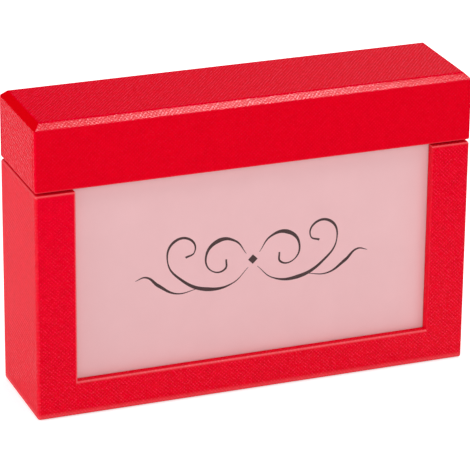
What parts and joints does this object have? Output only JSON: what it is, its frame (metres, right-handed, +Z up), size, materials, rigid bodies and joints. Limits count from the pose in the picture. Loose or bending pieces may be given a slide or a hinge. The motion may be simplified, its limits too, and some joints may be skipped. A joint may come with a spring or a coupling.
{
  "type": "photo storage box",
  "caption": "Rigid upright box for standard photo prints, with a lift-off lid over an inner tray and a front picture window that holds a slide-in card.",
  "frame": {"origin": "middle of the underside, on the surface that the box stands on", "axes": "+Z up, +X to the right of a viewer who faces the window, and the window looks to -Y"},
  "size_m": [0.17, 0.042, 0.115],
  "materials": {
    "grey_board": "uncoated solid grey board, hidden under paper",
    "cover_paper": "red cover paper with a fine embossed diamond grain and a slight satin sheen",
    "lining_paper": "plain matte off-white lining paper",
    "picture_card": "smooth matte printed card, pale pink with a dark brown pen flourish"
  },
  "bodies": {
    "base": {"front_frame_board": "grey_board", "base_back_board": "grey_board", "base_left_board": "grey_board", "base_right_board": "grey_board", "base_floor_board": "grey_board", "base_cover_paper": "cover_paper", "base_bottom_sheet": "cover_paper", "tray_front_board": "grey_board", "tray_back_board": "grey_board", "tray_left_board": "grey_board", "tray_right_board": "grey_board", "tray_floor_board": "grey_board", "tray_cover_paper": "cover_paper", "tray_lining": "lining_paper", "tray_floor_sheet": "lining_paper"},
    "card": {"picture_card": "picture_card"},
    "lid": {"lid_top_board": "grey_board", "lid_front_board": "grey_board", "lid_back_board": "grey_board", "lid_left_board": "grey_board", "lid_right_board": "grey_board", "lid_cover_paper": "cover_paper", "lid_lining": "lining_paper", "lid_top_lining": "lining_paper"}
  },
  "joints": [
    {"name": "lid_lift", "type": "slide", "parent": "base", "child": "lid", "axis": [0, 0, 1], "range_m": [0, 0.15]},
    {"name": "card_draw", "type": "slide", "parent": "base", "child": "card", "axis": [0, 0, 1], "range_m": [0, 0.09]}
  ],
  "couplings": [
    {"joint": "card_draw", "follows": "lid_lift", "ratio": 0.6}
  ]
}
